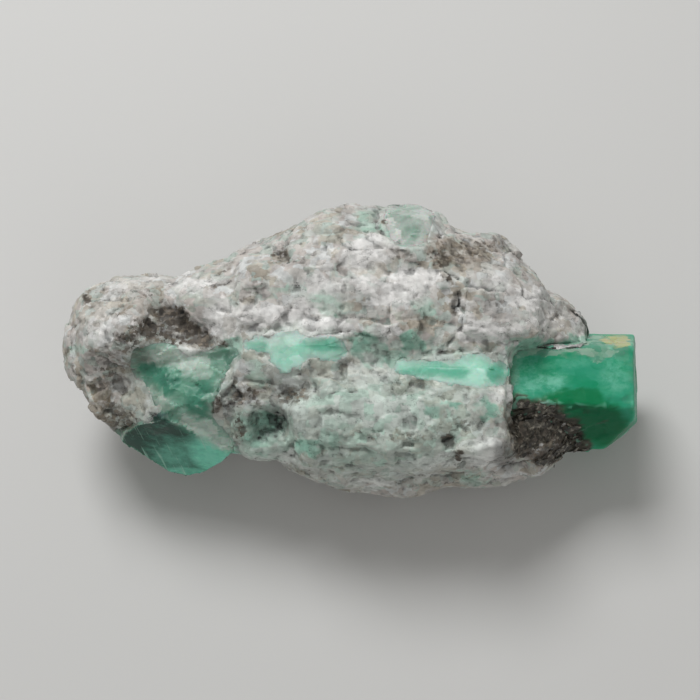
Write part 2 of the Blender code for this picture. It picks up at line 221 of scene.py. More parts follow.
def spread(shape, amount):
    """Moves every face of a shape out by this amount."""
    moves = {corner: corner.normal * corner.calc_shell_factor() * amount for corner in shape.verts}
    for corner, move in moves.items():
        corner.co += move
    shape.normal_update()
    return shape


def evaluated(mesh, kind, **settings):
    """The mesh that one modifier makes of this one, which it removes."""
    holder = add_piece("holder", mesh)
    step = holder.modifiers.new("step", kind)
    for key, value in settings.items():
        setattr(step, key, value)
    made = bpy.data.meshes.new_from_object(holder.evaluated_get(bpy.context.evaluated_depsgraph_get()))
    bpy.data.objects.remove(holder)
    bpy.data.meshes.remove(mesh)
    return made


def one_skin(mesh, face_size):
    return evaluated(mesh, "REMESH", mode="VOXEL", voxel_size=face_size)


def cut(mesh, tool, operation):
    """The mesh after one Boolean with another."""
    other = add_piece("tool", tool)
    made = evaluated(mesh, "BOOLEAN", operation=operation, object=other, solver="MANIFOLD")
    bpy.data.objects.remove(other)
    return made


def table_of(values, name):
    flat = np.empty(3 * len(values), np.float32)
    values.foreach_get(name, flat)
    return flat.reshape(-1, 3).astype(float)


def points_of(mesh):
    return table_of(mesh.vertices, "co")


def normals_of(mesh):
    return table_of(mesh.vertex_normals, "vector")


def surface_of(mesh):
    return points_of(mesh), normals_of(mesh)


def move_to(mesh, points):
    mesh.vertices.foreach_set("co", points.astype(np.float32).ravel())
    mesh.update()


def smooth_step(value):
    held = np.clip(value, 0.0, 1.0)
    return held * held * (3.0 - 2.0 * held)


def perspective(points):
    """How much larger each point looks than on the plane of the outlines."""
    return VIEW_DISTANCE / (VIEW_DISTANCE - points[:, 2:])


def chips(points, size, draw, tilt):
    """Broken facets, each a cell that leans its own way, and how far each point is from a cell's edge."""
    lift, seam = np.empty(len(points)), np.empty(len(points))
    middle = Vector((0.5, 0.5, 0.5))
    for i, (x, y, z) in enumerate(points):
        place = Vector((x / draw + 0.12 * y, y, z)) / size
        distances, cells = noise.voronoi(place)
        lean = noise.cell_vector(cells[0] * 41.0) - middle
        lift[i] = (place - cells[0]).dot(lean) * size * tilt
        seam[i] = distances[1] - distances[0]
    return lift, seam


def fractal(points, size, draw=1.0, octaves=4):
    places = [Vector((x / draw, y, z)) / size for x, y, z in points]
    return np.array([noise.fractal(place, 0.8, 2.1, octaves) for place in places])


def stray(points, shifts, *noise_terms):
    """A pair of noises for each point, by which places are moved along x and y so that edges wander."""
    return np.column_stack([fractal(points + shift, *noise_terms) for shift in shifts])


def terraces(points):
    """Broken beds: plates one over the other, with torn edges that come and go."""
    level = 3.6 * fractal(points, 2.4, 1.3, 4) + 0.25 * points[:, 1]
    torn = np.floor(level) + smooth_step((level % 1.0 - 0.5) / 0.16 + 0.5) - level
    return BED_STEP * torn * smooth_step(fractal(points + 150.0, 3.0, 1.5, 2) + 0.8)


def turned(points, x, y, turn):
    """How far each point lies along and across an axis that is turned by some degrees."""
    cos, sin = math.cos(math.radians(turn)), math.sin(math.radians(turn))
    dx, dy = points[:, 0] - x, points[:, 1] - y
    return dx * cos + dy * sin, dy * cos - dx * sin


def ledge(points, x, y, half_length, half_width, rise, edge, turn=0):
    """How far one ledge or crack lifts each point: full inside its turned rectangle, none past its edge."""
    along, across = np.abs(turned(points, x, y, turn))
    outside = np.maximum(along - half_length, across - half_width)
    return rise * (1.0 - smooth_step(outside / edge + 0.5))


def sides(outline):
    return zip(outline, outline[1:] + outline[:1])


def within(spots, outline):
    """How far inside an outline each spot lies, negative outside it."""
    nearest, inside = np.full(len(spots), np.inf), np.zeros(len(spots), bool)
    for (x0, y0), (x1, y1) in sides(outline):
        dx, dy = x1 - x0, y1 - y0
        x, y = spots[:, 0] - x0, spots[:, 1] - y0
        along = np.clip((x * dx + y * dy) / (dx * dx + dy * dy), 0.0, 1.0)
        nearest = np.minimum(nearest, np.hypot(x - along * dx, y - along * dy))
        crosses = (y > 0.0) != (y > dy)
        inside ^= crosses & (x < np.where(crosses, y * dx / (dy or 1.0), 0.0))
    return np.where(inside, nearest, -nearest)


def distance_to(points, node, reach):
    """For each point, the nearest point of a node and the distance to it, as far as the reach."""
    shape = cad_shape(node)
    tree = BVHTree.FromBMesh(shape)
    nearest, away = points.copy(), np.full(len(points), reach)
    for i, p in enumerate(points):
        found, _, _, distance = tree.find_nearest(Vector(p), reach)
        if found is not None:
            nearest[i], away[i] = found, distance
    shape.free()
    return nearest, away


def draw_up(points, node):
    """Closes the rock on a crystal's sides, with a short slope."""
    nearest, away = distance_to(points, node, DRAWN_REACH)
    pull = np.minimum(DRAWN_UP, away) * (1.0 - smooth_step((away - 0.4) / 1.5))
    return points + (nearest - points) * (pull / np.maximum(away, 0.01))[:, None]


def to_crystals(points):
    """Lowers the skin over the crystals that lie in the rock to their own faces, and no more than that."""
    _, off_rock = distance_to(points, "host_rock", 1.2)
    for node in GROWN_IN:
        nearest, away = distance_to(points, node, 0.8)
        share = smooth_step((off_rock - 0.1) / 0.35) * (1.0 - smooth_step((away - 0.5) / 0.3))
        points = points + (nearest - points) * share[:, None]
    return points


def weathered(mesh):
    """Gives a skin the rock's facets, grain and cracks. The crystals stay smoother and the facet flat."""
    points, normals = surface_of(mesh)
    keep = 1.0 - facet_plane(points, normals)
    seen = points[:, :2] * perspective(points)
    glassy = np.zeros(len(points))
    for outline, depth, smoothness in GROWN_IN.values():
        inside = smooth_step((within(seen, outline) + 0.2) / 0.3) * (points[:, 2] > depth)
        glassy = np.maximum(glassy, smoothness * inside)
    wide, _ = chips(points, *WIDE_FACETS)
    small, small_seam = chips(points, *SMALL_FACETS)
    grain, _ = chips(points + 33.0, *GRAIN_FACETS)
    gentle, _ = chips(points + 70.0, *CRYSTAL_FACETS)
    broken = wide + small + grain + terraces(points) + GRIT * fractal(points, 0.45, 1.3)
    broken -= GROOVE_DEPTH * np.exp(-((small_seam / GROOVE_WIDTH) ** 2))
    offset = broken * (1.0 - glassy) + (gentle + RIPPLE * fractal(points, 1.1, 1.6, 2)) * glassy
    moved = points + normals * (offset * keep)[:, None]
    moved -= FACET_NORMAL * (above_facet(points) * (1.0 - keep))[:, None]
    spots = points[:, :2] + stray(points, (0.0, 40.0), 0.8, 1.0, 2) * EDGE_WANDER
    facing = smooth_step(normals[:, 2] * 2.0)
    for form in LEDGES.values():
        moved[:, 2] += ledge(spots, *form) * facing * keep
    move_to(mesh, moved)
    return mesh


def neighbours(mesh):
    """The two ends of every edge of a mesh, and how many edges meet in each point."""
    ends = np.empty(2 * len(mesh.edges), np.int32)
    mesh.edges.foreach_get("vertices", ends)
    first, second = ends.reshape(-1, 2).T
    return first, second, np.maximum(np.bincount(ends, minlength=len(mesh.vertices)), 1)


def around(values, first, second, count):
    """The mean of a value over each point's neighbours."""
    size = len(count)
    return (np.bincount(first, values[second], size) + np.bincount(second, values[first], size)) / count


def middles(points, links):
    """The middle of each point's neighbours."""
    return np.column_stack([around(points[:, axis], *links) for axis in range(3)])


def softened(mesh, rounds):
    """Wears the edges of a mesh round."""
    links, points = neighbours(mesh), points_of(mesh)
    for _ in range(rounds):
        points = 0.4 * points + 0.6 * middles(points, links)
    move_to(mesh, points)
    return mesh


def flushed(mesh, outlines):
    """Draws the skin level across outlines, as a sheet held at their rims."""
    first, second, _ = neighbours(mesh)
    points = points_of(mesh)
    seen = points[:, :2] * perspective(points)
    held = np.max([within(seen, outline) for outline in outlines], axis=0) < -SHEET_RIM
    held |= points[:, 2] < SHEET_FLOOR
    inner = ~held[first] | ~held[second]
    used, ends = np.unique(np.concatenate([first[inner], second[inner]]), return_inverse=True)
    a, b = ends.reshape(2, -1)
    count = np.bincount(ends.ravel(), minlength=len(used))
    free, height = ~held[used], points[used, 2]
    for _ in range(SHEET_ROUNDS):
        height = np.where(free, around(height, a, b, count), height)
    points[used, 2] = height
    move_to(mesh, points)
    return mesh


def crannies(mesh):
    """How deep each point lies between its neighbours, from -1 on a sharp edge to 1 in a crack."""
    links, points = neighbours(mesh), points_of(mesh)
    depth = ((middles(points, links) - points) * normals_of(mesh)).sum(axis=1)
    for _ in range(3):
        depth = 0.4 * depth + 0.6 * around(depth, *links)
    return np.clip(depth / CRANNY_DEPTH, -1.0, 1.0)


def keep_inside(mesh):
    """Holds a finished mesh inside the solid model's box."""
    low, high = np.array(cad_box)
    move_to(mesh, np.clip(points_of(mesh), low + 1e-6, high - 1e-6))


# The knob's glassy facet: its plane, z = slope x + slope y + level, the line of its upper edge, y = slope x
# + level, and the x that it ends before.
FACET_SLOPE_X, FACET_SLOPE_Y, FACET_LEVEL = 0.30, 1.12, 13.6
RIM_SLOPE, RIM_LEVEL = -0.53, -11.2
FACET_RIGHT = -7.0
FACET_STEEPNESS = math.sqrt(1.0 + FACET_SLOPE_X**2 + FACET_SLOPE_Y**2)
FACET_NORMAL = np.array([-FACET_SLOPE_X, -FACET_SLOPE_Y, 1.0]) / FACET_STEEPNESS


def above_facet(points):
    return points @ FACET_NORMAL - FACET_LEVEL / FACET_STEEPNESS


def facet_plane(points, normals):
    """1 on the knob's glassy facet, which ends upwards in a bruised rim."""
    x, y = points[:, 0], points[:, 1]
    near = smooth_step((0.5 - np.abs(above_facet(points))) / 0.2)
    near *= smooth_step((RIM_LEVEL + RIM_SLOPE * x - y + 0.2 * np.sin(2.3 * x)) / 0.8)
    return smooth_step((normals @ FACET_NORMAL - 0.75) / 0.15) * near * (x < FACET_RIGHT)


# Where the rock and its crystals change colour, or have shade or glow painted on them, on the show face, by
# region:
# middle x, y, half length, half width, strength, turn in degrees. The places are those seen from the
# camera, on the plane of the outlines.
MICA_PATCHES = {
    # The thin patch along the left end's top edge, at (-16.5, 3.9), is painted shade on an edge that the
    # lamp lights.
    "left end": [
        (-20.4, -0.1, 0.36, 0.58, 0.5, -20), (-20.1, 1.7, 0.36, 0.29, 0.6), (-19.1, 3.7, 0.29, 0.36, 0.9),
        (-17.8, -2, 1.3, 1.3, 0.42, -40), (-17.6, 1, 3.8, 4.2, 0.18), (-17.4, -0.7, 2.2, 1.2, 0.4, -20),
        (-16.8, -5, 1.9, 1.1, 0.6, -38), (-16.5, 2.8, 1, 0.43, 0.45, 20), (-16.5, 3.9, 3.5, 0.6, 0.3, 5),
        (-15.9, 0.9, 0.58, 0.58, 0.85), (-15.8, 0.1, 1.6, 0.9, 0.45, -30), (-14.3, 1.4, 1.6, 0.9, 0.8, -10),
    ],
    "knob": [(-9.5, 0.5, 0.8, 0.45, 0.6, -30)],
    "upper rock": [
        (-13, 0.9, 1.6, 0.6, 0.7, -10), (-12.8, 2.4, 1.5, 0.85, 1, -25), (-11.2, 1.1, 1.6, 0.75, 0.95, -32),
        (-9.5, 4.6, 0.72, 0.22, 0.7), (-9.1, 5.8, 1.3, 0.29, 0.35, 25), (-7.7, 3.6, 0.65, 0.29, 0.6, 30),
        (-6.4, 4.9, 1.2, 0.22, 0.4, 10), (-5, 6.9, 0.6, 0.4, 0.7, 10), (-3.6, 6.7, 1.8, 0.29, 0.3, 15),
        (2.4, 9.27, 0.35, 0.16, 0.8), (4, 6.8, 1.4, 0.36, 0.35, -5), (6.15, 6.9, 0.35, 0.3, 0.7),
        (6.4, 6.2, 0.58, 0.36, 0.6), (6.95, 6.5, 0.4, 0.6, 0.7), (7, 5.2, 0.87, 0.22, 0.6, -22),
        (7.6, 3.3, 0.2, 0.8, 0.45, 4), (7.9, 6.7, 0.45, 0.25, 0.65, -20), (8, 7.2, 2.5, 1.1, 0.42, -8),
        (8.2, 7.75, 0.3, 0.25, 0.6), (9, 7, 0.4, 0.2, 0.6), (9, 2.4, 1, 0.22, 0.35, -8),
        (9.55, 7.6, 0.4, 0.25, 0.6), (10.3, 7.7, 1.3, 0.58, 0.4), (10.35, 7.4, 0.3, 0.2, 0.5),
        (10.6, 3.2, 1.3, 0.51, 0.3, -10),
    ],
    "seam and band": [(-0.7, 1.3, 0.87, 0.11, 0.4, 2), (4.5, -2.6, 1.7, 0.29, 0.4, -12)],
    "lower rock": [
        (-9.6, -4, 0.43, 0.65, 0.75), (-8, -5.8, 0.43, 1, 0.6), (-7.5, -3.3, 1.4, 0.7, 0.6),
        (-6.1, -5.3, 1.9, 1.2, 0.22), (-5.3, -4.9, 0.8, 0.8, 0.25), (-4.2, -3.3, 1.4, 0.7, 0.65, 10),
        (-3.6, -8.7, 1.6, 0.36, 0.35, -15), (3.2, -6.2, 3.2, 0.5, 0.35, -4), (6.5, -9.4, 4.3, 0.51, 0.3, 3),
        (7, -6.4, 0.51, 0.43, 0.7), (7.5, -5.4, 2, 0.9, 0.3, -10), (7.8, -7.7, 0.29, 0.29, 0.9),
    ],
    "right end": [
        (11.7, -1.3, 0.4, 1.3, 0.2), (12.5, -4, 0.87, 0.72, 1), (12.6, -6.9, 1, 1.1, 0.9),
        (13.7, -5.4, 2.2, 1.8, 1.1), (14.6, -7.6, 1.6, 0.8, 0.9, 10), (14.9, 2.4, 0.65, 0.22, 0.5, 40),
        (15.8, -6.3, 1.3, 1.5, 0.9, 30), (16.3, -7.2, 1.2, 0.6, 0.9, 25), (17.2, -4.6, 0.45, 0.2, 0.42, -5),
        (18.3, -5.2, 0.5, 0.25, 0.42, 20),
    ],
}
GREEN_PATCHES = {
    "left end": [(-19.9, 0.1, 0.65, 0.58, 0.7), (-16.7, -4.7, 1.3, 1, 0.35, -30)],
    "knob": [(-12.3, -3.6, 4.9, 4.3, 0.35), (-8.4, 0, 0.8, 0.9, 0.8, 30)],
    "upper rock": [
        (-4.5, 4.6, 1.4, 0.51, 0.55, 8), (-1.5, 3.3, 1.2, 1.2, 0.6), (-1.3, 8.4, 1, 0.87, 0.3),
        (-0.3, 2.7, 0.72, 0.72, 0.5), (1.2, 9.2, 1, 0.94, 0.65), (4.2, 8.5, 1.5, 0.94, 0.9),
        (5.6, 2.8, 1.2, 0.8, 0.65), (9.9, 5.8, 1.4, 0.72, 0.2),
    ],
    "seam and band": [
        (-6.8, -1, 0.9, 0.7, 0.5), (-6.7, -1.6, 1.2, 1.2, 0.6), (-3.6, 0.1, 4.1, 1.4, 0.4),
        (-1.6, -1.2, 1.3, 0.5, 0.45), (0.75, 0.4, 0.85, 0.95, 1), (1.4, 0.4, 1.3, 1, 0.75),
        (1.8, -1.2, 1.8, 0.5, 0.4, -8), (2.9, -0.6, 2.2, 0.9, 0.75, -10), (4.6, 0.5, 1.3, 0.72, 0.8),
        (4.6, 0.65, 1.1, 0.75, 0.95), (7.4, -1.6, 4.8, 1.4, 0.35), (7.5, -0.3, 3.5, 0.6, 0.55),
        (7.6, -2.9, 3.2, 0.5, 0.5, 3),
    ],
    "lower rock": [
        (-6.7, -6.4, 1.6, 0.87, 0.85), (-6.4, -6, 2.8, 2.4, 0.7), (-6.3, -5.4, 1.9, 1.2, 1),
        (-5.4, -2, 0.58, 0.72, 0.4), (-3.2, -7.2, 1.1, 1, 0.95), (-1.7, -6.3, 0.94, 0.87, 0.75, 20),
        (0.9, -6.6, 1.8, 0.65, 0.6, -5), (1.8, -5.4, 9.5, 4.4, 0.56, 2),
        (5.6, -4.5, 0.75, 0.5, 0.85, -10), (7.6, -3.9, 0.87, 0.35, 1, -10), (8.8, -9.2, 1.2, 0.43, 0.7),
        (10.1, -4.4, 0.87, 0.65, 1.1, -30),
    ],
    "right end": [
        (11.8, -1.4, 0.5, 1.6, 0.85), (12.8, 0.1, 1.3, 0.9, 0.95, 10), (15, 0.25, 2.1, 0.5, 1, 2),
        (16.9, 0.7, 1.2, 0.65, 0.85, 10),
    ],
}
# Milky white quartz. The patches above the seam and the band, and on the rock's tip over the prism, are
# also painted light where the rock's slopes turn away from the lamp.
SNOW_PATCHES = {
    "left end": [(-18.5, 1.6, 1.4, 1.1, 0.5), (-18, 1.9, 1.8, 1.6, 0.45), (-15.9, 4.8, 3.2, 0.58, 0.45, 3)],
    "knob": [
        (-13.9, -0.3, 1.3, 0.6, 0.5), (-11.6, -0.9, 1.5, 1.1, 0.85, -20),
        (-10.5, -5.85, 2.5, 0.6, 0.7, -28),
    ],
    "upper rock": [
        (-11.1, 4.9, 1.4, 0.65, 0.8, 10), (-9.3, 2.3, 1.9, 1.4, 0.7, -25), (-6.2, 2.3, 2, 0.9, 0.9),
        (-6.2, 2.8, 1.8, 0.7, 1), (-3.5, 3, 1.1, 1.4, 0.9), (-2, 4.6, 2, 1, 0.75), (-1.4, 1.5, 2, 0.8, 0.8),
        (0.7, 4.6, 1.9, 0.65, 0.6), (1.2, 7, 1.9, 1.3, 0.75, 10), (3.4, 4, 2.4, 1, 0.75),
        (5.1, 5.3, 2.2, 0.72, 0.95, -4), (5.3, 9.9, 0.7, 0.6, 0.7, -30), (8.1, 3.3, 0.43, 0.58, 0.7),
        (10.4, 4.7, 1.2, 0.87, 0.55, -5),
    ],
    "seam and band": [
        (-5.8, 1.3, 1.7, 0.58, 0.5), (-4.7, 0.7, 1.6, 0.8, 0.45), (1.6, -0.9, 1.6, 0.6, 0.5, -15),
        (2.1, 0.1, 0.6, 0.8, 0.95), (2.9, 1.3, 1.3, 0.6, 0.8), (8.9, -1.3, 1.1, 0.8, 0.3),
        (9.8, 1.3, 2.4, 0.8, 1), (9.9, 1.1, 2.6, 0.7, 0.7, -8),
    ],
    "lower rock": [
        (-6.7, -7.7, 1.4, 0.43, 0.85), (-4.7, -7.7, 0.72, 0.87, 0.8), (-3.9, -4.9, 0.87, 1.3, 0.6),
        (-0.7, -4.3, 1.7, 1.4, 0.4), (1.5, -1.8, 1.4, 1.4, 0.55, 20), (1.6, -9.6, 1.9, 0.36, 0.75),
        (1.6, -4.5, 3.4, 1.1, 0.95, -5), (3.4, -4.3, 1.6, 0.8, 1, -5), (4, -4.9, 2.2, 0.94, 0.85, -15),
        (4.6, -4.3, 1.3, 0.7, 1, -5), (5.9, -8.3, 2, 0.58, 0.85, 8), (9.7, -7.2, 1.4, 1.1, 1, 15),
        (10.9, -3.3, 0.94, 0.65, 0.65),
    ],
    "right end": [
        (12.5, 6.8, 0.87, 0.58, 0.35, -40), (13.1, 4.1, 1.3, 0.87, 0.5, -25),
        (13.4, 3.5, 2, 0.9, 0.75, -20), (13.9, 2, 1.8, 0.8, 0.6, -10), (16.5, 2.2, 0.72, 0.58, 0.4, -40),
        (17, 1.9, 0.8, 1, 0.8, -50),
    ],
}
RUST_PATCHES = {
    "left end": [
        (-18.3, -2.9, 0.7, 0.8, 0.9, -10), (-17.8, -3.3, 0.8, 0.7, 1, -10), (-16.7, 4.3, 1.4, 0.58, 0.3),
        (-15.6, -3.3, 1.4, 0.72, 0.4), (-15.4, 3.1, 1.8, 0.9, 0.45),
    ],
    "upper rock": [
        (3.3, 6.7, 1.9, 0.51, 0.3), (4.7, 2, 1.5, 0.72, 0.75), (7, 6.4, 0.51, 0.51, 0.8),
        (8, 7, 2.6, 1.2, 0.85, -8),
    ],
    "seam and band": [(8.3, 0.4, 1, 0.58, 0.4)],
    "lower rock": [(-6.5, -2.4, 1.6, 0.43, 0.4), (-5.1, -3, 1.7, 0.58, 0.3)],
    "right end": [
        (12.3, -4, 0.72, 0.58, 0.4), (14, -4.75, 0.9, 0.25, 0.5), (15.2, 1.8, 1.2, 0.58, 0.45, -30),
        (18.6, 1, 0.5, 0.3, 0.8), (19.3, 0.75, 0.9, 0.45, 1, -6),
    ],
}
DEEP_PATCHES = {
    "knob": [
        (-14.4, -1.7, 1.5, 0.9, 0.9, -25), (-13.3, -2.6, 1, 0.8, 1), (-12.2, -7.4, 3.2, 1.6, 1, -18),
        (-12, -8.9, 2.4, 0.5, 0.9), (-10.5, -3.8, 1.4, 1.7, 0.75), (-8.6, -2, 0.6, 1.8, 0.8),
    ],
    "upper rock": [(4.3, 8.3, 0.7, 0.6, 0.6)],
    "seam and band": [
        (-6.7, 0.4, 0.7, 0.5, 0.9), (-1.9, 0.4, 1.5, 0.7, 0.55, -6), (6.2, -1.5, 2.4, 0.7, 1, -3),
        (10.8, -1.7, 0.7, 1.1, 0.8),
    ],
    "right end": [(16.2, -3.7, 2.4, 0.9, 1), (17.9, -5.4, 2.4, 1.7, 0.9)],
}
CRUST_PATCHES = {
    "knob": [
        (-15, -4.9, 2.2, 0.6, 1, -28), (-14.4, -3.6, 1.4, 0.8, 0.75, -15), (-13.8, -0.3, 1.6, 0.6, 0.7),
        (-11.2, -0.7, 1.7, 1, 0.55, -20), (-10.4, -6, 2.2, 0.45, 0.75, -28),
    ],
    "upper rock": [(2.9, 8.6, 1, 1.2, 0.8, 30), (4.4, 7.4, 2, 0.4, 0.8)],
    "right end": [
        (11.9, -1.9, 0.4, 2, 0.55), (12.6, 0.2, 1, 0.6, 1, 12), (15, 0, 0.8, 0.5, 0.9),
        (16.5, 0.4, 4.6, 0.85, 0.95), (16.9, 0.1, 0.55, 0.7, 0.95), (18.6, 0, 0.7, 0.4, 0.8),
        (20.4, -2.2, 0.3, 2.2, 0.3),
    ],
}
# Painted shade: darkening laid into the colour in hollows, cracks and the mica pocket, under ledges and
# overhangs, and on the prism's lower face, which turns away from the lamp.
SHADE_PATCHES = {
    "left end": [(-18, -3.2, 0.5, 0.6, 0.6), (-16.2, 0.6, 0.5, 0.4, 0.5), (-14.2, 1.6, 0.3, 0.45, 0.6)],
    "knob": [(-13.7, -4.75, 0.8, 0.22, 0.9), (-13.7, -5.1, 0.7, 0.4, 0.5), (-13.2, -2.2, 0.7, 0.5, 0.4)],
    "upper rock": [
        (-12.2, 2.3, 0.5, 0.5, 0.6), (7, 5, 0.8, 0.08, 0.5, -30), (7.65, 3.4, 0.35, 0.8, 0.65, 4),
    ],
    "seam and band": [
        (-0.7, -1.3, 0.45, 1, 0.45, -30), (-0.3, 1.3, 1, 0.08, 0.5, 4), (6.3, 0, 0.8, 0.08, 0.5, 10),
        (7.1, 0.55, 0.25, 0.5, 0.4, -35),
    ],
    "lower rock": [
        (-8.6, -3.6, 1.6, 0.8, 0.35), (-5.9, -5.2, 1.8, 1.8, 0.55), (-1.15, -2.3, 0.22, 0.5, 0.4, 20),
        (0.8, -6.3, 2.4, 0.9, 0.3, -5), (6.9, -6.5, 0.5, 0.35, 0.4), (11.2, -7.6, 0.9, 1.3, 0.6),
    ],
    "right end": [
        (11.9, -4.7, 0.3, 1.4, 0.4, 10), (12.6, -5.3, 0.9, 1.5, 0.5), (16.4, -4.1, 1.2, 0.35, 0.6, -5),
        (17.9, -5.4, 2.8, 1.5, 0.5),
    ],
}
# Painted glow: on the knob's glassy facet, light coming through it and a painted highlight along its lower
# rim; on the prism, painted light at its root under the rock's overhang, and its milky feathers and pale
# bands.
GLOW_PATCHES = {
    "knob": [
        (-12.2, -8.1, 2.2, 1.4, 0.45, -25), (-11.6, -8.9, 2.2, 0.45, 0.7, -5), (-9.9, -7.7, 2, 1.3, 1, -25),
    ],
    "right end": [
        (12.6, -1.2, 1, 1.6, 0.6), (13.2, -2.6, 1.4, 0.6, 0.8, 10), (14.5, -2.2, 1.3, 0.8, 1, 12),
        (15, -1, 3, 0.4, 0.3), (19.2, -1.7, 1.1, 1.4, 0.6),
    ],
}
# Each substance, and the painted shade and glow: its patches, whether it fills whole grains or shades off,
# and, on the sides that no patch reaches, how common it is and the size of its spots.
SUBSTANCES = {
    "crust": (CRUST_PATCHES, True, 0.2, 2.0), "glow": (GLOW_PATCHES, False, 0.3, 2.0),
    "shade": (SHADE_PATCHES, False, 0.15, 1.8), "mica": (MICA_PATCHES, False, 0.40, 1.7),
    "green": (GREEN_PATCHES, True, 0.42, 2.6), "snow": (SNOW_PATCHES, True, 0.50, 2.2),
    "rust": (RUST_PATCHES, True, 0.34, 2.4), "deep": (DEEP_PATCHES, False, 0.5, 2.0),
}


COLOUR_WANDER = 0.32  # of the patches' edges
COLOUR_GRAIN, GRAIN_PULL = (0.75, 1.4), 0.7  # the grains that take one colour: size and draw, and how fully


def grain_middles(points, size, draw):
    """The middle of the broken grain in which each point lies."""
    cell = np.array([draw, 1.0, 1.0]) * size
    return np.array([noise.voronoi(Vector(place))[1][0] for place in points / cell]) * cell


def patch(spots, x, y, half_length, half_width, strength, turn=0):
    """How strongly a patch colours each spot: full in its middle, fading past its turned ellipse."""
    along, across = turned(spots, x, y, turn)
    reach = np.hypot(along / half_length, across / half_width)
    return strength * (1.0 - smooth_step((reach - 0.55) / 0.9))


def strongest(spots, patches):
    """How strongly the patches of one substance colour each spot."""
    return np.max([patch(spots, *form) for region in patches.values() for form in region], axis=0)


def to_outlines(spots):
    """How far each spot is from the nearest crystal's outline."""
    return np.min([np.abs(within(spots, outline)) for outline, _, _ in GROWN_IN.values()], axis=0)


def paint(mesh):
    """Stores on each point of a mesh in the show frame how much each substance, painted shade and painted
    glow colour it.
    """
    points, normals = surface_of(mesh)
    scale, glass = perspective(points), facet_plane(points, normals)
    seen = points[:, :2] * scale
    spots = seen + stray(points, (11.0, 53.0), 0.9, 1.5, 4) * COLOUR_WANDER * (1.0 - glass)[:, None]
    to_grain = GRAIN_PULL * (grain_middles(points, *COLOUR_GRAIN) - points)[:, :2] * scale
    shown = smooth_step((normals[:, 2] + 0.30) / 0.45) * smooth_step((points[:, 2] + 2.2) / 1.6)
    for i, (name, (patches, whole_grains, share, size)) in enumerate(SUBSTANCES.items()):
        amount = strongest(spots + to_grain if whole_grains else spots, patches)
        hidden = smooth_step((fractal(points + 90.0 * (i + 1), size, 1.6, 4) - 0.9 + 1.6 * share) / 0.5)
        store(mesh, name, amount * shown + 0.85 * hidden * (1.0 - shown))
    store(mesh, "rim", (1.0 - smooth_step(to_outlines(spots))) * shown)
    store(mesh, "cranny", crannies(mesh) * smooth_step((to_outlines(seen) - 0.2) / 0.25))
    store(mesh, "glass", glass)


def store(mesh, name, values):
    mesh.attributes.new(name, "FLOAT", "POINT").data.foreach_set("value", values.astype(np.float32))


BEDDING_TURN, SCRATCH_TURN = 0.06, -0.55  # radians from the x axis


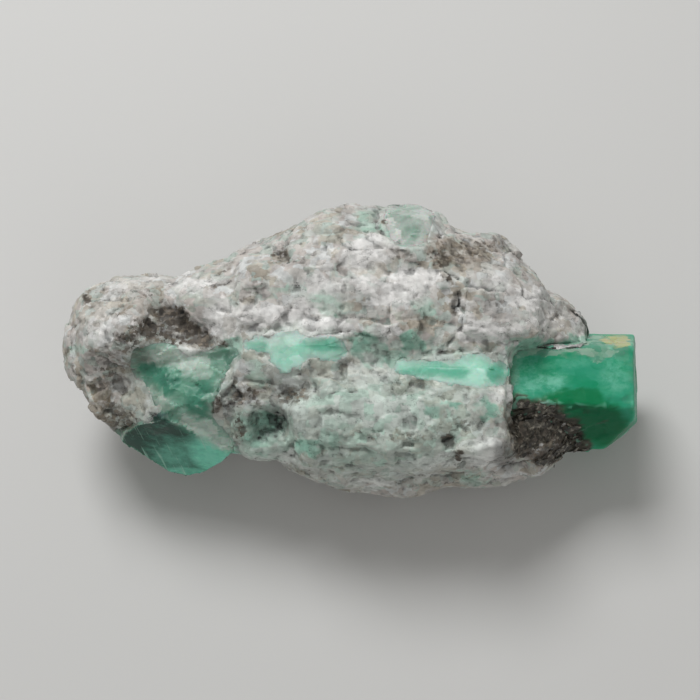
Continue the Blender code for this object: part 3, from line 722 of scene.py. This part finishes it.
class Finish:
    """A material in the making: its shader, and a short call for each kind of node that is used."""

    def __init__(self, name):
        self.material = bpy.data.materials.new(name)
        self.material.use_nodes = True
        self.tree = self.material.node_tree
        self.shader = self.tree.nodes["Principled BSDF"]
        coordinates = self.tree.nodes.new("ShaderNodeTexCoord")
        self.place = coordinates.outputs["Object"]

    def link(self, value, socket):
        if isinstance(value, bpy.types.NodeSocket):
            self.tree.links.new(value, socket)
        elif socket.type == "RGBA":
            socket.default_value = (*value, 1.0)
        else:
            socket.default_value = value

    def set(self, **values):
        for name, value in values.items():
            self.link(value, self.shader.inputs[name.replace("_", " ").title().replace("Ior", "IOR")])

    def node(self, kind, inputs, output=0, **settings):
        made = self.tree.nodes.new(kind)
        for key, value in settings.items():
            setattr(made, key, value)
        for key, value in inputs.items():
            self.link(value, made.inputs[key])
        return made.outputs[output]

    def amount(self, name):
        return self.node("ShaderNodeAttribute", {}, "Fac", attribute_name=name)

    def stretched(self, per_mm, draw):
        """Coordinates with this many features to the millimetre, drawn out along the bedding."""
        return self.turned(self.place, BEDDING_TURN, (per_mm / draw / MM, per_mm / MM, per_mm / MM))

    def turned(self, place, turn, scale):
        inputs = {"Vector": place, "Rotation": (0.0, 0.0, turn), "Scale": scale}
        return self.node("ShaderNodeMapping", inputs)

    def clouds(self, per_mm, draw=1.0, detail=4.0, roughness=0.6):
        place = self.stretched(per_mm, draw)
        inputs = {"Vector": place, "Scale": 1.0, "Detail": detail, "Roughness": roughness}
        return self.node("ShaderNodeTexNoise", inputs, "Fac")

    def vector(self, operation, inputs, output="Vector"):
        return self.node("ShaderNodeVectorMath", inputs, output, operation=operation)

    def grains(self, per_mm, draw=1.0, warp=0.5):
        """Broken grains: three random shares for each grain, and the way that its own facet leans."""
        place = self.broken_place(per_mm, draw, warp)
        colour = self.cells(place, "F1", "Color")
        lean = self.vector("SUBTRACT", {0: colour, 1: (0.5, 0.5, 0.5)})
        shares = self.node("ShaderNodeSeparateColor", {"Color": colour}).node.outputs
        return shares["Red"], shares["Green"], shares["Blue"], lean

    def broken_place(self, per_mm, draw, warp):
        place = self.stretched(per_mm, draw)
        uneven = self.node("ShaderNodeTexNoise", {"Vector": place, "Scale": 1.3, "Detail": 3.0}, "Color")
        return self.vector("MULTIPLY_ADD", {0: uneven, 1: (warp, warp, warp), 2: place})

    def cells(self, place, feature, output):
        settings = {"distance": "CHEBYCHEV", "feature": feature}
        return self.node("ShaderNodeTexVoronoi", {"Vector": place, "Scale": 1.0}, output, **settings)

    def joints(self, per_mm, draw, warp, width):
        """1 in the joints between broken grains of this size."""
        place = self.broken_place(per_mm, draw, warp)
        apart = self.sum(self.cells(place, "F2", "Distance"), self.cells(place, "F1", "Distance"), -1.0)
        return self.between(apart, 0.0, width, 1.0, 0.0)

    def faceted(self, *leans):
        """The surface's normal, turned a little by the facet of each size of grain."""
        normal = self.tree.nodes.new("ShaderNodeNewGeometry").outputs["Normal"]
        for lean, strength in leans:
            normal = self.vector("MULTIPLY_ADD", {0: lean, 1: (strength, strength, strength), 2: normal})
        return self.vector("NORMALIZE", {0: normal})

    def between(self, value, low, high, start=0.0, end=1.0):
        """A smooth step from start to end while the value goes from low to high."""
        inputs = {"Value": value, "From Min": low, "From Max": high, "To Min": start, "To Max": end}
        return self.node("ShaderNodeMapRange", inputs, interpolation_type="SMOOTHSTEP")

    def maths(self, operation, *values):
        return self.node("ShaderNodeMath", dict(enumerate(values)), operation=operation)

    def sum(self, a, b, share=1.0):
        return self.maths("MULTIPLY_ADD", b, share, a)

    def product(self, a, b):
        return self.maths("MULTIPLY", a, b)

    def mix(self, amount, below, above):
        return self.node("ShaderNodeMix", {0: amount, 6: below, 7: above}, 2, data_type="RGBA")

    def threads(self, per_mm, draw, width):
        """Thin wandering lines, 1 in their middle."""
        off = self.maths("ABSOLUTE", self.maths("SUBTRACT", self.clouds(per_mm, draw), 0.5))
        return self.between(off, 0.0, width, 1.0, 0.0)

    def scratches(self):
        """Thin light lines that run slantwise over a facet."""
        place = self.turned(self.place, SCRATCH_TURN, (1.0, 1.0, 1.0))
        place = self.turned(place, 0.0, (6.0 / MM, 0.3 / MM, 0.3 / MM))
        lines = self.node("ShaderNodeTexNoise", {"Vector": place, "Scale": 1.0, "Detail": 3.0}, "Fac")
        return self.between(lines, 0.60, 0.72)

    def ramp(self, value, *stops):
        made = self.tree.nodes.new("ShaderNodeValToRGB")
        for i, (place, colour) in enumerate(stops):
            stop = made.color_ramp.elements[i] if i < 2 else made.color_ramp.elements.new(place)
            stop.position, stop.color = place, (*colour, 1.0)
        self.link(value, made.inputs["Fac"])
        return made.outputs["Color"]

    def by_grain(self, amount, share, spread=1.0, softness=0.16):
        """Turns a smooth amount into whole grains, more of them where it is high."""
        crowd = self.sum(self.product(share, spread), amount, 1.0 + 2.0 * softness)
        return self.between(crowd, spread, spread + 2.0 * softness)

    def tinged(self, name, share, near_rim=0.0):
        """An amount as a faint even tinge under grains that take the colour fully."""
        amount = self.amount(name)
        if near_rim:
            amount = self.maths("MAXIMUM", amount, self.product(self.amount("rim"), near_rim))
        tinge = self.between(amount, 0.0, 0.8, 0.0, 0.75)
        grains = self.by_grain(self.between(amount, 0.3, 1.0), share, 0.8)
        return self.maths("MAXIMUM", tinge, grains)

    def bump(self, height, depth_mm, normal):
        inputs = {"Height": height, "Distance": depth_mm * MM, "Strength": 1.0, "Normal": normal}
        return self.node("ShaderNodeBump", inputs)


# The tints of the grains, of the green films from faint to full, and of mica from dark to dusty.
QUARTZ_TINTS = (
    (0.24, (0.34, 0.31, 0.26)), (0.38, (0.50, 0.47, 0.41)), (0.48, (0.40, 0.46, 0.42)),
    (0.58, (0.56, 0.56, 0.53)), (0.70, (0.475, 0.435, 0.405)), (0.84, (0.60, 0.615, 0.605)),
)
FILM_TINTS = (0.1, (0.54, 0.62, 0.575)), (0.60, (0.43, 0.56, 0.485)), (1.05, (0.23, 0.46, 0.36))
MICA_TINTS = (0.35, (0.032, 0.024, 0.016)), (0.55, (0.092, 0.071, 0.050)), (0.75, (0.24, 0.195, 0.14))
SNOW_COLOUR, RUST_COLOUR, PEPPER_COLOUR = (0.76, 0.755, 0.74), (0.26, 0.21, 0.14), (0.06, 0.05, 0.04)


def rock_finish():
    """Quartz and feldspar in white, grey, warm and pale green grains, with mica, beryl films, rust and
    painted shade.
    """
    finish = Finish("quartz_rock")
    cloud = finish.clouds(0.35, 1.8)
    streaks = finish.clouds(1.9, 1.3, 5.0, 0.65)
    block, block_2, _, block_lean = finish.grains(0.75, 1.25, 0.6)
    piece, piece_2, piece_3, piece_lean = finish.grains(1.7, 1.15)
    grain, grain_2, grain_3, grain_lean = finish.grains(4.0, 1.1)
    tint = finish.sum(finish.sum(finish.product(block, 0.45), piece, 0.40), cloud, 0.30)
    colour = finish.ramp(tint, *QUARTZ_TINTS)
    colour = finish.mix(finish.product(finish.tinged("snow", piece_2), 0.9), colour, SNOW_COLOUR)
    greenness = finish.sum(finish.product(piece_2, 0.22), finish.amount("green"), 0.85)
    green = finish.product(finish.tinged("green", piece_3, 0.5), 0.9)
    colour = finish.mix(green, colour, finish.ramp(greenness, *FILM_TINTS))
    rust = finish.between(finish.amount("rust"), 0.1, 1.0)
    rust = finish.product(rust, finish.between(piece, 0.0, 1.0, 0.3, 0.8))
    colour = finish.mix(rust, colour, RUST_COLOUR)
    mica = finish.amount("mica")
    specks = finish.sum(finish.product(grain, 0.35), streaks, 0.65)
    flecked = finish.between(finish.sum(mica, specks, 1.4), 0.90, 1.65, 0.0, 0.92)
    sheen = finish.sum(finish.product(block_2, 0.15), specks, 0.85)
    colour = finish.mix(flecked, colour, finish.ramp(sheen, *MICA_TINTS))
    crowd = finish.sum(finish.product(mica, 0.55), finish.between(cloud, 0.45, 0.75), 0.12)
    pepper = finish.by_grain(crowd, grain_3, 1.0, 0.25)
    colour = finish.mix(finish.product(pepper, 0.75), colour, PEPPER_COLOUR)
    light = finish.between(grain_2, 0.0, 1.0, 0.93, 1.04)
    light = finish.sum(light, finish.between(finish.clouds(1.0, 1.2, 3.0, 0.55), 0.36, 0.64, -0.15, 0.10))
    cracks = finish.product(finish.threads(0.8, 1.6, 0.010), finish.between(streaks, 0.45, 0.60, 0.0, 0.5))
    joints = finish.joints(1.7, 1.15, 0.5, 0.13)
    joints = finish.product(joints, finish.between(streaks, 0.46, 0.62, 0.0, 0.20))
    # Painted shade: the shade patches darken the colour.
    shade = finish.between(finish.amount("shade"), 0.1, 0.9)
    # Painted shade in creases: the deeper a point lies between its neighbours, the darker its colour.
    cranny = finish.between(finish.amount("cranny"), 0.1, 1.0)
    for darker, share in ((cracks, 1.0), (joints, 1.0), (shade, 0.68), (cranny, 0.42)):
        light = finish.sum(light, darker, -share)
    finish.set(base_color=finish.vector("SCALE", {0: colour, "Scale": light}))
    finish.set(roughness=finish.between(piece_3, 0.0, 1.0, 0.36, 0.80), specular_ior_level=0.42)
    finish.set(subsurface_weight=0.15, subsurface_radius=(0.95, 1.0, 0.97), subsurface_scale=0.3 * MM)
    facets = finish.faceted((block_lean, 0.16), (piece_lean, 0.18), (grain_lean, 0.10))
    finish.set(normal=finish.bump(streaks, 0.03, facets))
    return finish.material


lump_shape = cad_shape("host_rock")
for node in GROWN_IN:
    crystal = spread(cad_shape(node), GAP_CLOSED)
    part = as_mesh(crystal, "part")
    lump_shape.from_mesh(part)
    bpy.data.meshes.remove(part)
lump = softened(one_skin(as_mesh(lump_shape, "lump"), SKIN_SIZE), SKIN_WORN)
move_to(lump, draw_up(to_crystals(points_of(lump)), "emerald_prism"))
lump = flushed(lump, (BAND_OUTLINE, SEAM_OUTLINE))
lump = weathered(lump)

# The shafts that part the crystals from the rock: their top, the steps between and along their rings, and
# the length over which a root narrows to half and splays out. Their walls are torn into bites, and frayed.
SHAFT_TOP, RING_STEP, EDGE_STEP, ROOT_LENGTH, ROOT_SPLAY = 9.0, 0.5, 0.14, 1.6, 1.15
BITE_SIZE, BITE_DEPTH, FRAY = 0.8, 0.30, 0.06


def shaft(outline, depth):
    """The room that a crystal fills: its outline drawn out along the lines of sight, its root narrowing."""
    ring = []
    for (x0, y0), (x1, y1) in sides(outline):
        steps = max(1, round(math.hypot(x1 - x0, y1 - y0) / EDGE_STEP))
        ring += [(x0 + (x1 - x0) * i / steps, y0 + (y1 - y0) * i / steps) for i in range(steps)]
    ring = np.array(ring)
    root = ring.mean(axis=0) * ROOT_SPLAY
    shape, levels = bmesh.new(), []
    for z in np.arange(depth, SHAFT_TOP + RING_STEP, RING_STEP):
        share = 0.5 + 0.5 * smooth_step((z - depth) / ROOT_LENGTH)
        places = np.column_stack([root + (ring - root) * share, np.full(len(ring), z)])
        cells = [noise.voronoi(Vector(place))[1][0] for place in places / BITE_SIZE]
        bites = np.array([noise.cell_vector(cell * 57.0)[:2] for cell in cells])
        ragged = BITE_DEPTH * (bites - 0.5) + FRAY * stray(places, (3.0, 31.0), 0.5)
        seen = (places[:, :2] + ragged * share) * (1.0 - z / VIEW_DISTANCE)
        levels.append([shape.verts.new((x, y, z)) for x, y in seen])
    caps = [shape.faces.new(levels[0]), shape.faces.new(levels[-1])]
    for low, high in zip(levels, levels[1:]):
        for i in range(len(ring)):
            shape.faces.new((low[i - 1], low[i], high[i], high[i - 1]))
    bmesh.ops.triangulate(shape, faces=caps)
    bmesh.ops.recalc_face_normals(shape, faces=shape.faces)
    return as_mesh(shape, "shaft")


rock_mesh = lump.copy()
for outline, depth, _ in GROWN_IN.values():
    rock_mesh = cut(rock_mesh, shaft(outline, depth), "DIFFERENCE")
prism_room = as_mesh(spread(cad_shape("emerald_prism"), HAIR_CRACK), "prism_room")
rock_mesh = cut(rock_mesh, prism_room, "DIFFERENCE")


def largest_piece(mesh):
    """The mesh without the crumbs that the cuts leave."""
    shape = bmesh.new()
    shape.from_mesh(mesh)
    left, keep = set(shape.verts), set()
    while left:
        found = edge = {left.pop()}
        while edge:
            edge = {link.other_vert(v) for v in edge for link in v.link_edges} - found
            found = found | edge
        left -= found
        keep = max(keep, found, key=len)
    bmesh.ops.delete(shape, geom=[v for v in shape.verts if v not in keep], context="VERTS")
    shape.to_mesh(mesh)
    shape.free()
    return mesh


def dress(mesh, surface, node):
    """Puts a finished piece in place of its solid."""
    paint(mesh)
    mesh.shade_smooth()
    mesh.set_sharp_from_angle(angle=SHARP_EDGE)
    mesh.materials.clear()
    mesh.materials.append(surface)
    mesh.transform(show_frame)
    keep_inside(mesh)
    piece = add_piece(node + "_finish", mesh)
    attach(piece, "root")
    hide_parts(node)
    return piece


rock_mesh = largest_piece(rock_mesh)
share = ROCK_TRIANGLES / sum(len(face.vertices) - 2 for face in rock_mesh.polygons)
rock_mesh = evaluated(rock_mesh, "DECIMATE", ratio=min(share, 1.0))
rock = dress(rock_mesh, rock_finish(), "host_rock")

# ---------------- Emerald prism
# The six-sided crystal that stands out of the right end: deep green beryl, finely ribbed along its length
# and broken off at its free end. A pale crust has grown along its upper edge, where it grades into the
# rock, and lumps of dark mica on its lower front.
BERYL_RUST, SCRATCH_COLOUR = (0.50, 0.46, 0.22), (0.36, 0.62, 0.51)
BERYL_MICA = (0.35, (0.024, 0.023, 0.016)), (0.65, (0.11, 0.105, 0.078))
# The painted glow of the knob's glassy facet runs from GLASS_DARK to GLASS_BRIGHT.
GLASS_DARK, GLASS_BRIGHT = (0.012, 0.048, 0.035), (0.19, 0.68, 0.50)
# Painted shade: SHADED is what is left of each colour under full painted shade.
SHADED = (0.35, 0.36, 0.42)  # what is left of each colour in a deep shade


def emerald_finish(name, pale, middle, deep, milk, crusts, gloss, blocky):
    """Green beryl: pale to deep, clouded inside, with milky patches, a crust, stains, a few specks, painted
    shade and glow.
    """
    finish = Finish(name)
    clouds = finish.clouds(0.7, 1.8, 3.0)
    fine, haze = finish.clouds(2.6, 2.4, 5.0), finish.clouds(1.3, 1.3, 5.0, 0.7)
    block, block_2, block_3, block_lean = finish.grains(1.5, 1.4, 0.8)
    *_, grain_lean = finish.grains(4.0, 1.5)
    richer = finish.between(finish.sum(finish.product(block, blocky), clouds, 0.9), 0.40, 0.80)
    deeper = finish.between(finish.sum(finish.amount("deep"), clouds, 0.5), 0.35, 1.05)
    body = finish.mix(deeper, finish.mix(richer, pale, middle), deep)
    crust = finish.ramp(block, (0.2, crusts[0]), (0.8, crusts[1]))
    body = finish.mix(finish.tinged("crust", block_3, 0.55), body, crust)
    snow = finish.between(finish.sum(finish.amount("snow"), fine, 0.45), 0.30, 1.15, 0.0, 0.9)
    body = finish.mix(snow, body, milk)
    body = finish.mix(finish.product(finish.tinged("rust", block_2), 0.75), body, BERYL_RUST)
    mica = finish.between(finish.sum(finish.amount("mica"), fine, 0.5), 0.40, 1.0)
    body = finish.mix(mica, body, finish.ramp(fine, *BERYL_MICA))
    # Painted shade: the shade patches darken the body, most of all on the prism's lower face.
    shade = finish.between(finish.amount("shade"), 0.1, 0.9)
    body = finish.mix(shade, body, finish.vector("MULTIPLY", {0: body, 1: SHADED}))
    # Pale sharp edges: where a point stands out from its neighbours the body turns milky, part painted
    # highlight and part wear.
    body = finish.mix(finish.between(finish.amount("cranny"), -1.0, -0.35, 0.35, 0.0), body, milk)
    # Painted glow: the glow patches turn the body milky, which in the prism is partly its own milky
    # feathers, and on the glassy facet they paint its glow from dark to bright, crossed by light scratches.
    bloom = finish.product(finish.amount("glow"), finish.between(haze, 0.36, 0.66, 0.1, 0.9))
    body = finish.mix(bloom, body, milk)
    glow = finish.sum(finish.amount("glow"), finish.sum(finish.sum(haze, -0.75), fine, 0.5))
    glow = finish.mix(glow, GLASS_DARK, GLASS_BRIGHT)
    glow = finish.mix(finish.product(finish.scratches(), 0.7), glow, SCRATCH_COLOUR)
    glass = finish.amount("glass")
    body = finish.mix(finish.product(glass, finish.between(snow, 0.1, 0.9, 0.88, 0.15)), body, glow)
    rough = finish.sum(finish.between(fine, 0.3, 0.7, gloss, gloss + 0.2), glass, -0.15)
    finish.set(base_color=body, roughness=rough, ior=1.58, specular_ior_level=0.18)
    finish.set(subsurface_weight=0.5, subsurface_radius=(0.3, 1.0, 0.65), subsurface_scale=1.0 * MM)
    calm = finish.between(glass, 0.0, 0.6, 1.0, 0.0)
    leans = [finish.vector("SCALE", {0: lean, "Scale": calm}) for lean in (block_lean, grain_lean)]
    finish.set(normal=finish.faceted((leans[0], 0.55 * blocky), (leans[1], 0.35 * blocky)))
    return finish.material


PRISM_SKIN, PRISM_WORN = 0.13, 2  # its mesh faces and rounds of wear
RIB_HEIGHT, WAVE_HEIGHT = 0.010, 0.012  # fine ribs along it, and long low waves
END_FACETS, CRUST_FACETS = (1.6, 1.0, 0.30), (0.8, 1.4, 0.36)
END_LENGTH, END_WORN, SIDES_WORN = 1.3, 0.04, 0.03
CRUST_THICKNESS, MICA_THICKNESS = 0.03, 0.12
GROWTH_WANDER, BITE_WANDER = 0.25, 0.2  # of the edges of crust and mica, and of bites
# Bites out of the prism's lower edge and end, in the same terms as the rock's ledges.
PRISM_BITES = {
    "end_bite": (18.9, -3.7, 0.8, 0.35, -0.12, 0.3, 4),
    "edge_bite": (16.6, -4.2, 0.9, 0.2, -0.1, 0.3, -6),
    "edge_bite_2": (15, -3.9, 0.6, 0.2, -0.1, 0.3, 8),
    "lower_bite": (17.2, -6, 1, 0.5, -0.1, 0.2, 20),
    "corner_bite": (18.9, 0.9, 0.35, 0.2, -0.14, 0.12, -30),
}


def grown_on(points, patches):
    """How thickly the crust or the mica that these patches give has grown on each point of the prism."""
    spots = points[:, :2] * perspective(points) + stray(points, (21.0, 63.0), 0.7, 1.0, 3) * GROWTH_WANDER
    return smooth_step((strongest(spots, patches) - 0.25) / 0.6) * (points[:, 2] > -2.0)


def prism_mesh():
    """The prism's solid, ribbed and bitten, with crust and mica grown on it and an uneven end."""
    skin = softened(one_skin(as_mesh(cad_shape("emerald_prism"), "prism"), PRISM_SKIN), PRISM_WORN)
    points, normals = surface_of(skin)
    ribs = RIB_HEIGHT * fractal(points, 0.45, 14.0, 2) + WAVE_HEIGHT * fractal(points + 7.0, 1.1, 3.0, 3)
    at_end = smooth_step((points[:, 0] - points[:, 0].max() + END_LENGTH) / 1.0)
    lift, _ = chips(points, *END_FACETS)
    blocks, _ = chips(points + 30.0, *CRUST_FACETS)
    crusted, dusted = grown_on(points, CRUST_PATCHES), grown_on(points, MICA_PATCHES)
    offset = ribs * (1.0 - crusted) + crusted * (0.5 * blocks + CRUST_THICKNESS)
    offset = offset + dusted * (1.3 * blocks + MICA_THICKNESS)
    spots = points[:, :2] + stray(points, (5.0, 44.0), 0.8, 1.0, 3) * BITE_WANDER
    for form in PRISM_BITES.values():
        offset += ledge(spots, *form) * (points[:, 2] > -1.0)
    moved = points + normals * (offset - SIDES_WORN)[:, None]
    moved[:, 0] += at_end * (0.5 * lift - END_WORN)
    move_to(skin, moved)
    return skin


deep_green = emerald_finish(
    "deep_emerald", pale=(0.030, 0.33, 0.195), middle=(0.008, 0.29, 0.14), deep=(0.002, 0.20, 0.075),
    milk=(0.20, 0.57, 0.42), crusts=((0.10, 0.29, 0.20), (0.27, 0.43, 0.33)), gloss=0.28, blocky=0.22,
)
prism = dress(prism_mesh(), deep_green, "emerald_prism")

# ---------------- Mica flakes
# Plates of dark mica that lie close on the rock and on the prism's root, in the pocket between the two.
# They are held by the quartz that has grown round them, and their flat faces shine a little.
POCKET_LEFT, POCKET_RIGHT = 10.5, 17.0
MICA_RICH = 0.72  # the amount of mica from which the plates lie
ROCK_FLAKES, PRISM_FLAKES = 230, 140
FLAKE_SIZE, FLAKE_DRAWN, FLAKE_THICKNESS, FLAKE_SUNK = (0.10, 0.36), (1.0, 1.7), 0.04, 0.01
FLAKE_LEAN = 0.22
FLAKE_TINTS = (0.42, (0.022, 0.020, 0.015)), (0.56, (0.080, 0.071, 0.054)), (0.72, (0.30, 0.28, 0.23))


def flake(shape, place, out, random):
    """Adds one six-cornered plate that leans at random from the surface and is just sunk in it."""
    lean = Vector(out) + Vector(random.normal(size=3)) * FLAKE_LEAN
    turn = lean.to_track_quat("Z", "Y").to_matrix()
    size, drawn = random.uniform(*FLAKE_SIZE) * MM, random.uniform(*FLAKE_DRAWN)
    start = random.uniform(0.0, math.tau)
    low, high = [], []
    for i in range(6):
        angle, reach = start + math.tau * i / 6, size * random.uniform(0.7, 1.0)
        x, y = reach * drawn * math.cos(angle), reach * math.sin(angle)
        for rim, height in ((low, 0.0), (high, FLAKE_THICKNESS * MM)):
            rim.append(shape.verts.new(Vector(place) + turn @ Vector((x, y, height - FLAKE_SUNK * MM))))
    shape.faces.new(high)
    shape.faces.new(low[::-1])
    for i in range(6):
        shape.faces.new((low[i], low[i - 5], high[i - 5], high[i]))


def mica_flakes(grounds):
    """Plates strewn in the pocket over each of these meshes, where its mica is rich."""
    random = np.random.default_rng(11)
    shape = bmesh.new()
    for mesh, count in grounds:
        amount = np.empty(len(mesh.vertices), np.float32)
        mesh.attributes["mica"].data.foreach_get("value", amount)
        points, normals = surface_of(mesh)
        along = points[:, 0] / MM
        rich = np.clip(amount - MICA_RICH, 0.0, None) * (along > POCKET_LEFT) * (along < POCKET_RIGHT)
        for i in random.choice(len(points), count, replace=False, p=rich / rich.sum()):
            flake(shape, points[i], normals[i], random)
    return as_mesh(shape, "mica_flakes")


def mica_finish():
    finish = Finish("mica")
    finish.set(base_color=finish.ramp(finish.clouds(3.0, 1.0, 2.0), *FLAKE_TINTS))
    finish.set(roughness=0.36, specular_ior_level=0.5)
    return finish.material


flakes_mesh = mica_flakes(((rock.data, ROCK_FLAKES), (prism.data, PRISM_FLAKES)))
flakes_mesh.materials.append(mica_finish())
keep_inside(flakes_mesh)
flakes = add_piece("mica_flakes", flakes_mesh)
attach(flakes, "root")

# ---------------- Emerald band and seam
# Two crystals of mint-green beryl that lie level in the rock with only their tops laid bare. They are
# cracked through with the rock round them, so their broken surface runs on from it.


def dress_grown_in(node, surface):
    """Dresses a crystal that lies in the rock in its own part of the lump's skin."""
    outline, depth, _ = GROWN_IN[node]
    dress(largest_piece(cut(lump.copy(), shaft(outline, depth), "INTERSECT")), surface, node)


mint_green = emerald_finish(
    "mint_emerald", pale=(0.58, 0.85, 0.74), middle=(0.36, 0.74, 0.58), deep=(0.15, 0.50, 0.355),
    milk=(0.74, 0.83, 0.79), crusts=((0.31, 0.52, 0.42), (0.54, 0.65, 0.58)), gloss=0.36, blocky=0.6,
)
dress_grown_in("emerald_band", mint_green)
dress_grown_in("emerald_seam", mint_green)

# ---------------- Emerald knob
# The teal beryl crystal at the lower left. It has grown through the rock's edge, and is rough and cloudy on
# top and broken to one large glassy facet towards the front.
teal_green = emerald_finish(
    "teal_emerald", pale=(0.26, 0.42, 0.34), middle=(0.15, 0.34, 0.25), deep=(0.07, 0.24, 0.165),
    milk=(0.49, 0.60, 0.53), crusts=((0.20, 0.32, 0.26), (0.45, 0.52, 0.46)), gloss=0.26, blocky=0.6,
)
dress_grown_in("emerald_knob", teal_green)

# ---------------- Beryl crown
# The pale green stub at the top edge. It is beryl too poor in colour to be emerald, broken off level with
# the quartz and shading off into it.
pale_green = emerald_finish(
    "pale_beryl", pale=(0.44, 0.48, 0.445), middle=(0.33, 0.40, 0.355), deep=(0.22, 0.34, 0.275),
    milk=(0.55, 0.57, 0.55), crusts=((0.42, 0.47, 0.43), (0.60, 0.62, 0.59)), gloss=0.42, blocky=0.5,
)
dress_grown_in("beryl_crown", pale_green)
bpy.data.meshes.remove(lump)
